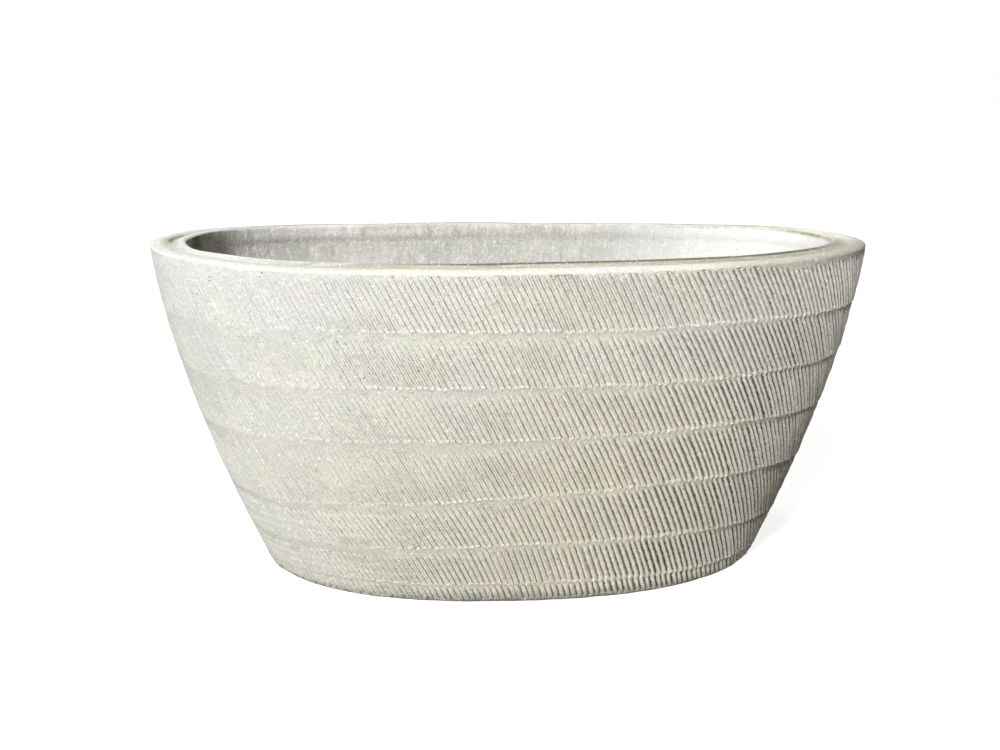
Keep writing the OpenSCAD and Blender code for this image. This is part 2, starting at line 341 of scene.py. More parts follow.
class CombedBand:
    """One pass of the comb. It has a few columns for each groove, and chance gives each
    groove its own place, depth, lip, foot, toe and start"""

    def __init__(self, band):
        self.band = band
        self.on_top = band == 0
        self.on_heel = band == len(SEAMS) - 1
        self.rng = np.random.RandomState(FIRST_BAND_SEED + band)
        middle = SEAMS[band][0] + BAND_HEIGHTS[band] / 2
        girth = walk_round(middle, GIRTH_STEPS)[1][-1]
        self.grooves = int(round(girth / GROOVE_PITCHES[band]))
        strokes = int(round(self.grooves / STROKE_GROOVES))
        self.place_columns(girth, strokes)
        self.cut_across = np.tile(CUT_ACROSS, self.grooves)
        self.depth = GROOVE_DEPTH * self.own(0.7, 1.2)
        self.lip_own = self.own(0.3, 1.3)
        self.lip = LIP_RISE * (1 + 0.8 * self.hard) * self.lip_own
        self.lip = self.lip * np.tile(LIP_ACROSS, self.grooves)
        self.foot_drop = self.own(-0.6, 0.5)
        self.toe_own = self.own(0.2, 1.2)
        ragged = 0.05 * wander(self.share, band, cells=strokes * 2, seed=19)
        self.start = 0.08 + ragged + self.own(-0.05, 0.06) - 0.09 * np.clip(self.hard, 0, 1)
        self.fade_in = 0.14
        if self.on_top:
            self.start = self.start - 0.07 + plain_lip(turn_at(self.share))
            self.fade_in = 0.07

    def own(self, low, high):
        """One chance value for each groove, the same on all its columns"""
        return np.repeat(self.rng.uniform(low, high, self.grooves), len(ACROSS))

    def place_columns(self, girth, strokes):
        """Where each column starts at the band's head, as a share of the way round, and
        how far it moves round on its way down"""
        band = self.band
        number = np.repeat(np.arange(self.grooves), len(ACROSS))
        self.hard = pressed(number / self.grooves, band)
        wider = np.tile(PRESSED_ACROSS, self.grooves) * np.clip(self.hard, 0, 1)
        across = np.tile(ACROSS, self.grooves) + wider
        self.phase = number + across
        share = (number + across + self.own(-0.08, 0.08)) / self.grooves
        self.share = share + END_STRETCH[band] / (4 * np.pi) * np.sin(4 * np.pi * share)
        slant = groove_slant(band, self.share, girth)
        self.slant = slant * (1 + 0.03 * wander(self.share, band, cells=strokes, seed=17))

    def height(self, turn, down):
        """Height of each column at one place down the band"""
        top = seam_height(self.band - 1, turn) - (0.0 if self.on_top else TUCK_DROP)
        foot = seam_height(self.band, turn)
        if not self.on_heel:
            foot = foot + smooth_step(0.8, 1.0, down) * self.foot_drop
        return top + (foot - top) * down

    def toes(self, turn, down):
        """How strongly the comb pushed up toes at one place down the band"""
        at_foot = 0.0
        if not self.on_heel:
            past_foot = smooth_step(0.955, 1.0, down)
            at_foot = smooth_step(0.82, 0.955, down) * (1 - 0.75 * past_foot)
        toes = at_foot + extra_toes(self.band, down, turn)
        return toes * (1 - 0.85 * self.cut_across) * self.toe_own

    def ring(self, down):
        """The ring at one place down the band, from 0 at its head to 1 at its foot. It is
        its column angles, its points, their marks (light, stains and painted shade, pressed, cut,
        inside, place across the grooves and down the band) and its set of columns"""
        here = self.share + self.slant * down
        turn = turn_at(here)
        height = self.height(turn, down)
        rub = worn(here, height)
        crisp = 1 - rub
        smear = smeared(here)
        seam = 1 - 0.93 * smear
        begins = smooth_step(self.start - 0.03, self.start + self.fade_in, down)
        ragged = 0.5 + 0.5 * wander(here, height / 1.6, cells=self.grooves, seed=61)
        depth = self.depth * begins * crisp * (0.6 + 0.2 * down + 0.7 * self.hard)
        lip = self.lip * begins * crisp * (0.4 + ragged)
        toe = TOE_RISE * self.toes(turn, down) * (1 - 0.5 * rub) * seam
        dent = 0.12 * wander(here, height / 3.0, cells=self.grooves, seed=29)
        proud = (BAND_STEP + HARD_STEP * self.hard) * (down**1.4 - 0.5) * seam
        light = 0.06 + 0.13 * np.maximum(begins, smear) + 0.2 * rub
        reach, place_down = BAND_REACH, down
        if self.on_top:
            proud = proud * smooth_step(0.0, 0.3, down)
            light = light + (1 - begins) * (0.15 + 0.3 * ragged)
            reach, place_down = TOP_REACH, max(down, 0.14)
        inset = depth * self.cut_across - proud - lip - toe + dent * begins
        points = wall_points(turn, height, np.maximum(inset, -reach) + SKIN_INSET)
        cut = begins * np.clip(1.15 * crisp, 0, 1) * (0.8 + 0.2 * self.lip_own)
        marks = rows_of(turn, light, 0, self.hard, cut, 0, self.phase, place_down)
        return turn, points, marks, self.band


def rows_of(turn, *columns):
    """One row for each column angle, of values that may be the same all round"""
    return np.stack([0 * turn + column for column in columns], axis=-1)


def band_rings(band):
    """Rings of one combed band from its foot up to its head"""
    combed = CombedBand(band)
    places = HEEL_DOWN if combed.on_heel else DOWN
    return [combed.ring(down) for down in reversed(places)]


# ---- plain parts of the bowl


def arc(centre, radius, start, end, steps):
    """Points of an arc as (inset, height), between two angles in degrees"""
    points = []
    for i in range(steps + 1):
        angle = math.radians(start + (end - start) * i / steps)
        inset = centre[0] + radius * math.cos(angle)
        points.append((inset, centre[1] + radius * math.sin(angle)))
    return points


def plain_turns(columns):
    """Angles of evenly spaced columns"""
    return np.arange(columns) * 2 * np.pi / columns


def plain_marks(turn, light, stain_and_shade, inside):
    """Marks of a ring that the comb left alone"""
    return rows_of(turn, light, stain_and_shade, 0, 0, inside, FLAT_PLACE, 0)


def inside_marks(turn):
    """How much painted light and painted shade the inner wall has: a pool of light at the back
    right, and shade in its left corner"""
    way = np.mod(turn / np.pi + 0.5, 2.0) - 0.5
    return hump(way, 0.1, 0.25, 4), hump(way, 0.97, 0.1)


def right_end_share(turn):
    """How near the rim's right end, at the back, each angle is"""
    return smooth_step(0.85, 0.96, np.cos(turn)) * smooth_step(-0.6, 0.1, np.sin(turn))


def rim_points(turn, inset, drop):
    """Points of one ring of the rim, with its lumps and chips. The roll stands higher
    at the bowl's ends"""
    share = share_at(turn)
    inner = smooth_step(4.0, 12.0, inset)
    widening = inner * 0.45 * wander(share, drop / 4, cells=30, seed=37)
    chips = 0.1 * wander(share, inset, cells=110, seed=41)
    lumps = 0.12 * wander(share, 1.7 * inset, cells=70, seed=63) * smooth_step(0, 3, inset)
    raised = 1.5 * np.cos(turn) ** 2 * smooth_step(10.0, 5.0, inset)
    drop_here = drop + lumps - raised
    if drop < RIM_TOP_DROP:
        drop_here = drop_here * (1 - 0.7 * smooth_step(-0.7, -1.0, np.cos(turn)))
    drop_here = np.maximum(drop_here, 0.02)
    return wall_points(turn, BOWL_HEIGHT - drop_here, inset + RIM_INSET + widening + chips)


def rim_light(turn, inset, light, left_light):
    """How light one ring of the rim is: the bead carries a painted highlight at its right end"""
    left = smooth_step(-0.2, -0.85, np.cos(turn))
    light = light + left_light * left
    light = light + 0.15 * wander(share_at(turn), inset, cells=60, seed=65)
    # Painted highlight on the bead at its right end
    on_bead = smooth_step(11.5, 13.0, inset) * smooth_step(17.4, 16.8, inset)
    return light + 0.9 * right_end_share(turn) * on_bead


def rim_stain_and_shade(turn, inset, stain_and_shade):
    """How dirty one ring of the rim is: hardly at its front left, with a blotch at its left
    end and a dark line along the crest of the bead. At the right end a painted shadow line
    on the bead's inner side takes the dirt's place"""
    way = half_turns(turn)
    back = np.clip(np.sin(turn), 0, 1)
    left = smooth_step(-0.2, -0.85, np.cos(turn))
    right = smooth_step(0.6, 0.95, np.cos(turn))
    inner = smooth_step(4.0, 12.0, inset)
    unmarked = np.maximum(0.85 * hump(way, 1.2, 0.13), 0.6 * right)
    unmarked = np.maximum(0.75 * left * (1 - inner), unmarked)
    stain_and_shade = stain_and_shade * (1 - unmarked) * (1 - 0.85 * back)
    blotch = smooth_step(4.0, 7.0, inset) * smooth_step(13.5, 11.0, inset)
    clouds = wander(share_at(turn), inset / 3, cells=24, seed=67)
    stain_and_shade = stain_and_shade + 0.55 * hump(way, 1.01, 0.07) * blotch + 0.15 * right + 0.15 * clouds
    crest = smooth_step(12.4, 13.6, inset) * smooth_step(16.8, 15.6, inset)
    far_crest = smooth_step(14.4, 15.2, inset) * smooth_step(17.4, 16.4, inset)
    far_crest = 0.95 * smooth_step(0.3, 0.7, back) * far_crest
    crest = np.maximum(hump(way, 1.62, 0.3, 4) * crest, far_crest)
    stain_and_shade = stain_and_shade * (1 - crest) + 1.05 * crest
    # Painted shadow line on the inner side of the bead at the right end
    right_end = right_end_share(turn)
    line = smooth_step(16.8, 17.4, inset) * smooth_step(18.15, 18.05, inset)
    return stain_and_shade * (1 - right_end) + 0.9 * right_end * line


def rim_ring(inset, drop, stain_and_shade, light, left_light=0.0):
    """One ring of the rim, from the roll to the bead"""
    turn = plain_turns(PLAIN_COLUMNS)
    light = rim_light(turn, inset, light, left_light)
    inside = smooth_step(17.4, 18.1, inset)
    marks = plain_marks(turn, light, rim_stain_and_shade(turn, inset, stain_and_shade), inside)
    return turn, rim_points(turn, inset, drop), marks, "plain"


def lip_ring(inset, drop):
    """One ring of the faint lip under the bead"""
    turn = plain_turns(PLAIN_COLUMNS)
    marks = plain_marks(turn, *inside_marks(turn), 1.0)
    return turn, rim_points(turn, inset, drop), marks, "plain"


def rim_rings():
    """Outer roll, channel, inner bead and the faint lip under it"""
    rings = [rim_ring(*place, 0.12, 0.08, 0.25) for place in ROLL_SHOULDER + ROLL_TOP]
    rings += [rim_ring(*place, 0.15) for place in CHANNEL]
    rings += [rim_ring(*place, 0.1, 0.7) for place in BEAD]
    return rings + [lip_ring(*place) for place in INNER_LIP]


def inside_rings():
    """Inner wall, cove and floor down to the drain"""
    turn = plain_turns(PLAIN_COLUMNS)
    share = share_at(turn)
    top = BOWL_HEIGHT - INNER_LIP[-1][1]
    low = FLOOR_HEIGHT + COVE_RADIUS
    profile = [
        (WALL_THICKNESS, top + (low - top) * i / INNER_ROWS) for i in range(1, INNER_ROWS)
    ]
    profile += arc((WALL_THICKNESS + COVE_RADIUS, low), COVE_RADIUS, 180, 270, COVE_STEPS)
    marks = plain_marks(turn, *inside_marks(turn), 1.0)
    rings = []
    for inset, height in profile:
        off_floor = smooth_step(FLOOR_HEIGHT, FLOOR_HEIGHT + 12, height)
        lumps = 0.4 * wander(share, height / 16, cells=34, seed=43)
        runs = 0.2 * wander(share, height / 60, cells=150, seed=47)
        moved = inset + off_floor * (lumps + runs + 0.35)
        rings.append((turn, wall_points(turn, height, moved), marks, "plain"))
    return rings


def level_circle(height, radius):
    """A level circle round the drain"""
    turn = plain_turns(DRAIN_COLUMNS)
    points = rows_of(turn, radius * np.cos(turn), radius * np.sin(turn), height)
    return turn, points, plain_marks(turn, 0.0, 0.0, 1.0), "drain"


def heel_rings():
    """Recess, foot ring and the rough rounded edge under the heel"""
    turn = plain_turns(PLAIN_COLUMNS)
    share = share_at(turn)
    profile = [(FOOT_WIDTH + RECESS_DRAFT, FOOT_RECESS), (FOOT_WIDTH, 0.0)]
    profile += arc((HEEL_RADIUS, HEEL_RADIUS), HEEL_RADIUS, 270, 180, HEEL_STEPS)
    marks = plain_marks(turn, 0.3, 0.0, 0.0)
    rings = []
    for inset, height in profile:
        moved = inset + SKIN_INSET + 0.35 * wander(share, height, cells=120, seed=53)
        rings.append((turn, wall_points(turn, height, moved), marks, "plain"))
    return rings


# ---- bowl, mesh


def round_order(turn):
    """Order of the columns round the bowl, and the angle half-way from each to the next"""
    turn = np.mod(turn, 2 * np.pi)
    order = np.argsort(turn)
    turn = turn[order]
    middle = (turn + np.roll(turn, -1)) / 2
    middle[-1] = (turn[-1] + turn[0]) / 2 + np.pi
    return order, middle


def skin_between(low, high, low_start, high_start, paired):
    """Faces between two rings, given their column angles and their first points. Rings
    with the same columns get four-sided faces, others get triangles in the order of
    their angles"""
    if paired:
        here = np.arange(len(low))
        after = (here + 1) % len(low)
        corners = [low_start + here, low_start + after, high_start + after, high_start + here]
        return [tuple(face) for face in np.stack(corners, axis=-1).tolist()]
    low_round, low_middle = round_order(low)
    high_round, high_middle = round_order(high)
    order = np.argsort(np.concatenate([low_middle, high_middle]), kind="stable")
    on_low = order < len(low)
    low_before = np.cumsum(on_low) - on_low
    high_before = np.cumsum(~on_low) - ~on_low
    low_point = low_start + low_round[low_before % len(low)]
    high_point = high_start + high_round[high_before % len(high)]
    next_low = low_start + low_round[(low_before + 1) % len(low)]
    next_high = high_start + high_round[(high_before + 1) % len(high)]
    third = np.where(on_low, next_low, next_high)
    return [tuple(face) for face in np.stack([low_point, third, high_point], axis=-1).tolist()]


def bowl_rings():
    """All rings in order: up the outside, down the inside and through the drain"""
    rings = [level_circle(FOOT_RECESS, DRAIN_RADIUS)]
    rings += heel_rings()
    for band in range(len(SEAMS) - 1, -1, -1):
        rings += band_rings(band)
    rings += rim_rings()
    rings += inside_rings()
    rings.append(level_circle(FLOOR_HEIGHT, DRAIN_RADIUS + DRAIN_FLAT))
    rings.append(level_circle(FLOOR_HEIGHT, DRAIN_RADIUS + DRAIN_BEVEL))
    rings.append(level_circle(FLOOR_HEIGHT - DRAIN_BEVEL, DRAIN_RADIUS))
    return rings


def comb_lines(faces, kinds, marks):
    """Place across the grooves and down the band, for each corner of each face"""
    corners = []
    for face, kind in zip(faces, kinds):
        if kind != "combed":
            down = 0.0 if kind == "seam" else 0.5
            corners.append(np.tile((FLAT_PLACE, down), (len(face), 1)))
            continue
        place = marks[list(face), 5:7]
        across = place[:, 0]
        whole_turn = np.round(across.max() - across)
        place[:, 0] = np.where(whole_turn > 2, across + whole_turn, across)
        corners.append(place)
    return np.concatenate(corners).astype(np.float32)


def skin_faces(rings):
    """Faces of the bowl's skin, ring by ring, and the kind of each"""
    starts = np.cumsum([0] + [len(ring[0]) for ring in rings]).tolist()
    faces, kinds = [], []
    for i, ring in enumerate(rings):
        after = (i + 1) % len(rings)
        next_ring = rings[after]
        paired = ring[3] == next_ring[3]
        new_faces = skin_between(ring[0], next_ring[0], starts[i], starts[after], paired)
        kind = "plain"
        if isinstance(ring[3], int) and isinstance(next_ring[3], int):
            kind = "combed" if paired else "seam"
        faces += new_faces
        kinds += [kind] * len(new_faces)
    return faces, kinds


def make_bowl():
    """The bowl's skin, with the marks that its material reads"""
    rings = bowl_rings()
    points = np.concatenate([ring[1] for ring in rings]) * MM
    marks = np.concatenate([ring[2] for ring in rings]).astype(np.float32)
    faces, kinds = skin_faces(rings)
    mesh = bpy.data.meshes.new("bowl_skin")
    mesh.from_pydata(points.tolist(), [], faces)
    comb = mesh.color_attributes.new("comb", "FLOAT_COLOR", "POINT")
    comb.data.foreach_set("color", np.clip(marks[:, :4], 0, 1).ravel())
    inside = mesh.attributes.new("inside", "FLOAT", "POINT")
    inside.data.foreach_set("value", marks[:, 4].copy())
    lines = mesh.uv_layers.new(name="comb_lines")
    lines.data.foreach_set("uv", comb_lines(faces, kinds, marks).ravel())
    bowl = bpy.data.objects.new("combed_bowl", mesh)
    bpy.context.scene.collection.objects.link(bowl)
    select_only(bowl)
    mode("EDIT")
    face_outwards()
    bpy.ops.object.shade_smooth_by_angle(angle=math.radians(BOWL_SMOOTH_ANGLE))
    return bowl


def select_only(piece):
    bpy.ops.object.select_all(action="DESELECT")
    piece.select_set(True)
    bpy.context.view_layer.objects.active = piece


def mode(name):
    bpy.ops.object.mode_set(mode=name)


def face_outwards():
    """Turns all faces of the mesh in edit mode outwards, and leaves edit mode"""
    bpy.ops.mesh.select_all(action="SELECT")
    bpy.ops.mesh.normals_make_consistent(inside=False)
    mode("OBJECT")


# ---- materials

# Colours of the concrete outside
CREAM = (0.775, 0.747, 0.655, 1)
WARM_GREY = (0.7, 0.69, 0.64, 1)
MOSS_GREEN = (0.59, 0.66, 0.5, 1)
ROSE = (0.74, 0.61, 0.56, 1)
# Whiter where worn, and the painted highlight on the bead's right end
WORN_WHITE_AND_HIGHLIGHT = (0.88, 0.87, 0.83, 1)
# White lips and toes thrown up by the comb; on the lips it is also a painted highlight on the side
# facing the lamps
RIDGE_WHITE_AND_HIGHLIGHT = (0.95, 0.94, 0.885, 1)
STRIP_GREY = (0.4, 0.405, 0.35, 1)
# Painted shade in the grooves, faint where the comb was light and deepest where it was firm
FAINT_GROOVE_SHADE = (0.24, 0.225, 0.175, 1)
DEEP_GROOVE_SHADE = (0.06, 0.055, 0.04, 1)
# Painted shade for the front of the right end, which faces away from the lamps
END_SHADE = (0.15, 0.14, 0.12, 1)
# Painted shade at the right end and low on the front right; it also darkens the bottom of the heel
SHADE_AND_HEEL_DARK = (0.1, 0.094, 0.08, 1)
# Painted shade on the right of the roll
ROLL_SHADE = (0.33, 0.32, 0.275, 1)
# Olive stains of the rim's channel; it also paints shade in the inner left corner and the bead's
# shadow line at the right end
CHANNEL_STAIN_AND_SHADE = (0.29, 0.28, 0.195, 1)
# Dark line along the bead's crest; also the darkest of the painted shade in the inner left corner
CREST_LINE_AND_SHADE = (0.13, 0.12, 0.085, 1)
# Colours of the concrete inside
INNER_GREY = (0.485, 0.48, 0.445, 1)
INNER_PALE = (0.65, 0.64, 0.6, 1)
# Painted pool of light inside, at the back right
INNER_PAINTED_LIGHT = (0.82, 0.825, 0.805, 1)
DARK_DRIP = (0.4, 0.385, 0.34, 1)
PALE_DRIP = (0.84, 0.84, 0.81, 1)
LIP_SHADOW = (0.4, 0.38, 0.34, 1)
FLECK_WHITE = (0.90, 0.90, 0.88, 1)
# Colours of what lies in the concrete
CRUMB_WHITE = (0.90, 0.89, 0.85, 1)
GRIT_BROWN = (0.33, 0.31, 0.26, 1)
PIT_BROWN = (0.25, 0.23, 0.19, 1)
# Painted tints and shade of the light along the bowl: darker and cooler at the left end,
# warmer and a little darker to the right, cooler high up and warmer low down. For each,
# where, and what the colour is multiplied by outside that zone and in it
PAINTED_LIGHT_TINTS = (
    ({"X": (-200, 30)}, (0.745, 0.775, 0.8, 1), (1, 0.985, 0.945, 1)),
    ({"X": (40, 140)}, (1, 1, 1, 1), (0.96, 0.95, 0.935, 1)),
    ({"Z": (80, 160)}, (1, 0.985, 0.955, 1), (0.985, 0.99, 1.02, 1)),
)
# The front of the bowl along Y
FRONT = (30, -10)
# Fine relief: size, detail and roughness of its noise, its depth and its strength
GRAIN = ((0.8, 3, 0.7, 0.3, 0.7), (2.0, 3, 0.65, 0.5, 0.7), (3.5, 3, 0.6, 0.7, 0.6))
# Places down a band of the short rows of toes on the low left
TOE_ROWS = (0.24, 0.5, 0.74)
PIT_SPACING = 5.0

RUBBER_BLACK = (0.028, 0.028, 0.027, 1)
DUST_GREY = (0.12, 0.115, 0.105, 1)

FLOOR_GREY = (0.38, 0.38, 0.37, 1)
WHITE = (1, 1, 1, 1)
# How much of the floor's white shows where no light falls on it, near the bowl, and
# how far from the bowl's middle that changes to all of it
FLOOR_GLOW = 0.87
GLOW_NEAR = 350.0
GLOW_FAR = 1200.0


class Shade:
    """The nodes of a material or a world, and short ways to add and join them"""

    def __init__(self, owner, end="Principled BSDF"):
        owner.use_nodes = True
        self.owner = owner
        self.nodes = owner.node_tree.nodes
        self.links = owner.node_tree.links
        self.surface = self.nodes[end]
        self.place = self.add("TexCoord").outputs["Object"]

    def add(self, kind, inputs=None, **settings):
        """A node with its settings and what its inputs are fed with"""
        node = self.nodes.new("ShaderNode" + kind)
        for name, value in settings.items():
            setattr(node, name, value)
        for socket, value in (inputs or {}).items():
            self.feed(node.inputs[socket], value)
        return node

    def feed(self, socket, value):
        """Links a socket to another node's, or sets its value"""
        if isinstance(value, bpy.types.NodeSocket):
            self.links.new(value, socket)
        else:
            socket.default_value = value

    def paint(self, name, value):
        """Feeds one input of the finished surface"""
        self.feed(self.surface.inputs[name], value)

    def noise(self, size, detail=2.0, roughness=0.5, place=None):
        """Noise whose blotches are about size millimetres across"""
        inputs = {"Scale": 1 / (size * MM), "Detail": detail, "Roughness": roughness}
        inputs["Vector"] = place or self.place
        return self.add("TexNoise", inputs).outputs["Fac"]

    def stretch(self, scale):
        """Places for noise, scaled along each axis: below 1 makes the noise longer"""
        inputs = {"Vector": self.place, "Scale": scale}
        return self.add("Mapping", inputs).outputs["Vector"]

    def split(self, place):
        """A place's parts along X, Y and Z"""
        return self.add("SeparateXYZ", {0: place}).outputs

    def zone(self, **sides):
        """How far each place lies in a zone: from 0 at a side's first value to 1 at its
        second, along each axis in millimetres"""
        parts = self.split(self.place)
        return self.times(*(self.ramp(parts[key], *metres(side)) for key, side in sides.items()))

    def ramp(self, value, low, high, start=0.0, end=1.0):
        """From start where the value is low to end where it is high"""
        inputs = {"Value": value, "From Min": low, "From Max": high}
        inputs |= {"To Min": start, "To Max": end}
        return self.add("MapRange", inputs).outputs["Result"]

    def maths(self, kind, first, second=0.0):
        return self.add("Math", {0: first, 1: second}, operation=kind).outputs[0]

    def times(self, first, *others):
        for other in others:
            first = self.maths("MULTIPLY", first, other)
        return first

    def most(self, first, *others):
        for other in others:
            first = self.maths("MAXIMUM", first, other)
        return first

    def line(self, value, slope, start):
        return self.maths("ADD", self.times(value, slope), start)

    def mix(self, share, first, second, kind="MIX"):
        inputs = {0: share, 6: first, 7: second}
        node = self.add("Mix", inputs, data_type="RGBA", blend_type=kind)
        return node.outputs[2]

    def bump(self, height, distance, strength=1.0, under=None):
        """Relief of a height, up to a distance in millimetres, on top of another"""
        inputs = {"Height": height, "Distance": distance * MM, "Strength": strength}
        if under:
            inputs["Normal"] = under
        return self.add("Bump", inputs).outputs["Normal"]


def concrete():
    """Pale warm grey concrete: mottled, sandy, lighter on the ridges and stained in the channel
    of the rim. Shade is painted in the grooves, at the right end, on the right of the roll and
    in the inner left corner, highlights on the lips and the bead's right end, a pool of light
    inside at the back right, and tints of the light along the bowl"""
    shade = Shade(bpy.data.materials.new("combed_concrete"))
    comb = shade.add("Attribute", attribute_name="comb").outputs
    light, stain_and_shade, hard = shade.add("SeparateColor", {0: comb["Color"]}).outputs
    inside = shade.add("Attribute", attribute_name="inside").outputs["Fac"]
    firm = shade.ramp(hard, 0.1, 0.75)
    groove, ridge, strip = comb_marks(shade, firm, comb["Alpha"])
    # The front of the right end, where shade is painted
    right_end = shade.zone(X=(100, 158), Z=(170, 45), Y=FRONT)
    pits = pit_marks(shade)

    colour = mottled_colour(shade, light)
    colour = shade.mix(strip, colour, STRIP_GREY)
    # Painted shade at the front of the right end
    colour = shade.mix(shade.times(right_end, 0.8), colour, END_SHADE)
    # Painted shade in the grooves
    colour = shade.mix(groove, colour, shade.mix(firm, FAINT_GROOVE_SHADE, DEEP_GROOVE_SHADE))
    # White ridges and toes, with a painted highlight along the lips
    colour = shade.mix(ridge, colour, RIDGE_WHITE_AND_HIGHLIGHT)
    colour = darkened_colour(shade, colour, right_end)
    # Painted tints and shade of the light, multiplied in along the bowl
    for zone, first, second in PAINTED_LIGHT_TINTS:
        light_tint = shade.mix(shade.zone(**zone), first, second)
        colour = shade.mix(1.0, colour, light_tint, "MULTIPLY")
    colour = shade.mix(inside, colour, inner_colour(shade, light))
    colour = stained_and_shaded_colour(shade, colour, stain_and_shade)
    colour = sandy_colour(shade, colour, shade.times(inside, light), pits)
    shade.paint("Base Color", colour)
    shade.paint("Roughness", shade.ramp(shade.noise(3, 2), 0.3, 0.7, 0.82, 0.95))
    shade.paint("Specular IOR Level", 0.3)
    crest = shade.maths("SUBTRACT", ridge, groove)
    shade.paint("Normal", sandy_relief(shade, crest, pits))
    return shade.owner


def mottled_colour(shade, light):
    """Grey and cream clouds with green and rose blotches, whiter where it is worn and where
    a highlight is painted on the bead's right end
    """
    clouds = shade.ramp(shade.noise(40, 4, 0.6), 0.36, 0.64)
    colour = shade.mix(clouds, WARM_GREY, CREAM)
    moss = shade.ramp(shade.noise(9, 4, 0.7), 0.5, 0.68, 0, 0.6)
    colour = shade.mix(moss, colour, MOSS_GREEN)
    blotches = shade.noise(8, 4, 0.7, shade.stretch((1, 1, 1.5)))
    colour = shade.mix(shade.ramp(blotches, 0.52, 0.7, 0, 0.6), colour, ROSE)
    return shade.mix(shade.ramp(light, 0.2, 1, 0, 0.85), colour, WORN_WHITE_AND_HIGHLIGHT)


def darkened_colour(shade, colour, right_end):
    """Painted shade over the front of the right end, low on the front right and on the right of
    the roll, and darker towards the bottom round the heel, with dark spots near its edge
    """
    heel = shade.times(shade.zone(Z=(8, 1), X=(-200, 20)), 0.75)
    # Painted shade low on the front right
    low_right = shade.times(shade.zone(X=(60, 150), Z=(75, 45), Y=FRONT), 0.35)
    spots = shade.ramp(shade.noise(2.6, 3, 0.6), 0.44, 0.54, 0, 0.75)
    spots = shade.times(spots, shade.zone(Z=(4.5, 2.5)))
    darkening = shade.most(shade.times(right_end, 0.7), heel, low_right, spots)
    colour = shade.mix(darkening, colour, SHADE_AND_HEEL_DARK)
    # Painted shade on the right of the roll
    roll = shade.times(shade.zone(X=(60, 160), Z=(178, 183), Y=(0, -30)), 0.5)
    return shade.mix(roll, colour, ROLL_SHADE)


def inner_colour(shade, light):
    """Dull grey inside with dark and pale drips, a shadow line under the rim's lip and
    white flecks, and nearly white where a pool of light is painted"""
    dull = shade.ramp(shade.noise(22, 4, 0.65), 0.35, 0.65)
    inner = shade.mix(dull, INNER_GREY, INNER_PALE)
    drips = shade.noise(3.4, 4, 0.6, shade.stretch((1, 1, 0.25)))
    inner = shade.mix(shade.ramp(drips, 0.32, 0.44, 0.75, 0), inner, DARK_DRIP)
    inner = shade.mix(shade.ramp(drips, 0.57, 0.66, 0, 0.6), inner, PALE_DRIP)
    under_lip = shade.times(shade.zone(Z=(174, 177.5)), shade.zone(Z=(181.5, 178.5)))
    inner = shade.mix(shade.times(under_lip, 0.35), inner, LIP_SHADOW)
    flecks = shade.ramp(shade.noise(2.6, 3, 0.7), 0.64, 0.68, 0, 0.7)
    inner = shade.mix(flecks, inner, FLECK_WHITE)
    return shade.mix(shade.times(light, 0.97), inner, INNER_PAINTED_LIGHT)


def stained_and_shaded_colour(shade, colour, stain_and_shade):
    """Streaky stains of the rim and a dark line along the crest of its bead. The same colours
    paint the shade in the inner left corner and the shadow line at the bead's right end
    """
    streaks = shade.noise(3.0, 4, 0.6, shade.stretch((0.14, 1, 1)))
    channel = shade.times(stain_and_shade, shade.ramp(streaks, 0.35, 0.6, 0.45, 1))
    colour = shade.mix(channel, colour, CHANNEL_STAIN_AND_SHADE)
    return shade.mix(shade.ramp(stain_and_shade, 0.88, 1, 0, 0.9), colour, CREST_LINE_AND_SHADE)


def sandy_colour(shade, colour, unmarked, pits):
    """Sand, white crumbs, brown grit and air holes, with less sand and fewer crumbs
    where a pool of light is painted inside"""
    sand = shade.ramp(shade.noise(0.9, 2, 0.75), 0.34, 0.66, 0.84, 1.12)
    coarse = shade.times(shade.line(unmarked, -0.8, 1), shade.zone(X=(-220, -40)))
    colour = shade.mix(coarse, colour, sand, "MULTIPLY")
    crumbs = shade.ramp(shade.noise(1.7, 2, 0.7), 0.63, 0.67, 0, 0.75)
    crumbs = shade.times(crumbs, shade.ramp(unmarked, 0, 0.6, 1, 0))
    colour = shade.mix(crumbs, colour, CRUMB_WHITE)
    grit = shade.noise(1.9, 2, 0.7, shade.stretch((1, 1.3, 1.1)))
    colour = shade.mix(shade.ramp(grit, 0.31, 0.35, 0.55, 0), colour, GRIT_BROWN)
    return shade.mix(shade.times(pits, 0.55), colour, PIT_BROWN)


def sandy_relief(shade, crest, pits):
    """Relief of the grain, of the comb's crests and of the air holes"""
    normal = None
    for size, detail, roughness, depth, strength in GRAIN:
        normal = shade.bump(shade.noise(size, detail, roughness), depth, strength, normal)
    normal = shade.bump(crest, 0.3, 0.9, normal)
    return shade.bump(shade.line(pits, -1, 1), 0.5, 0.8, normal)


